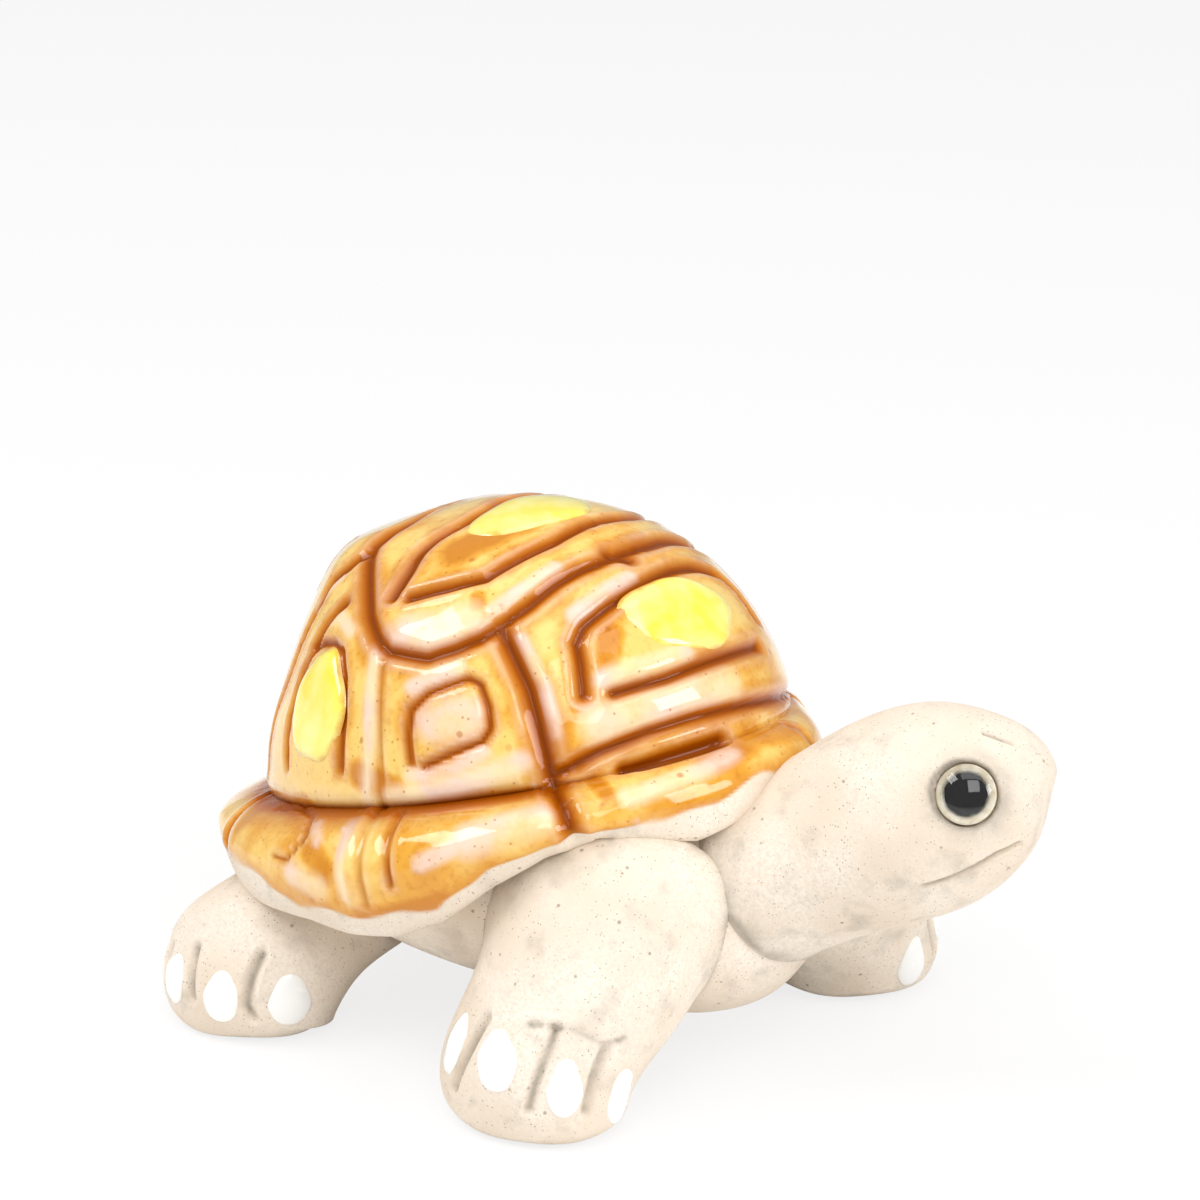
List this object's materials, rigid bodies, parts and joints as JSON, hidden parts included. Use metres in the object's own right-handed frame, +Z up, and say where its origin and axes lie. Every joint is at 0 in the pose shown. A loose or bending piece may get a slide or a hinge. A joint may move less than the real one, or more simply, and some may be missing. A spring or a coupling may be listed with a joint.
{
  "type": "tortoise figurine",
  "caption": "Small glazed ceramic tortoise with a carved honey-brown shell, bare clay limbs, white claws, glass eyes and its head turned to one side.",
  "frame": {"origin": "ground under the middle of the figurine's bounding box", "axes": "+X ahead towards the head, +Y to the animal's left, +Z up from the soles"},
  "size_m": [0.0966, 0.069, 0.0544],
  "materials": {
    "honey_glaze": "glossy honey-brown glaze, dark in the grooves",
    "bare_clay": "matt unglazed speckled cream clay",
    "white_enamel": "glossy white enamel",
    "yellow_glaze": "glossy yellow glaze",
    "cream_iris": "smooth cream",
    "black_pupil": "glossy black",
    "clear_glass": "polished clear glass"
  },
  "bodies": {
    "root": {"belly_bowl": "bare_clay", "carapace": "honey_glaze", "front_left_claws": "white_enamel", "front_left_leg": "bare_clay", "front_right_claws": "white_enamel", "front_right_leg": "bare_clay", "glaze_dabs": "yellow_glaze", "left_eye_bed": "cream_iris", "left_eye_glass": "clear_glass", "left_eye_pupil": "black_pupil", "neck_and_head": "bare_clay", "rear_left_claws": "white_enamel", "rear_left_leg": "bare_clay", "rear_right_claws": "white_enamel", "rear_right_leg": "bare_clay", "right_eye_bed": "cream_iris", "right_eye_glass": "clear_glass", "right_eye_pupil": "black_pupil", "tail": "bare_clay"}
  },
  "joints": []
}
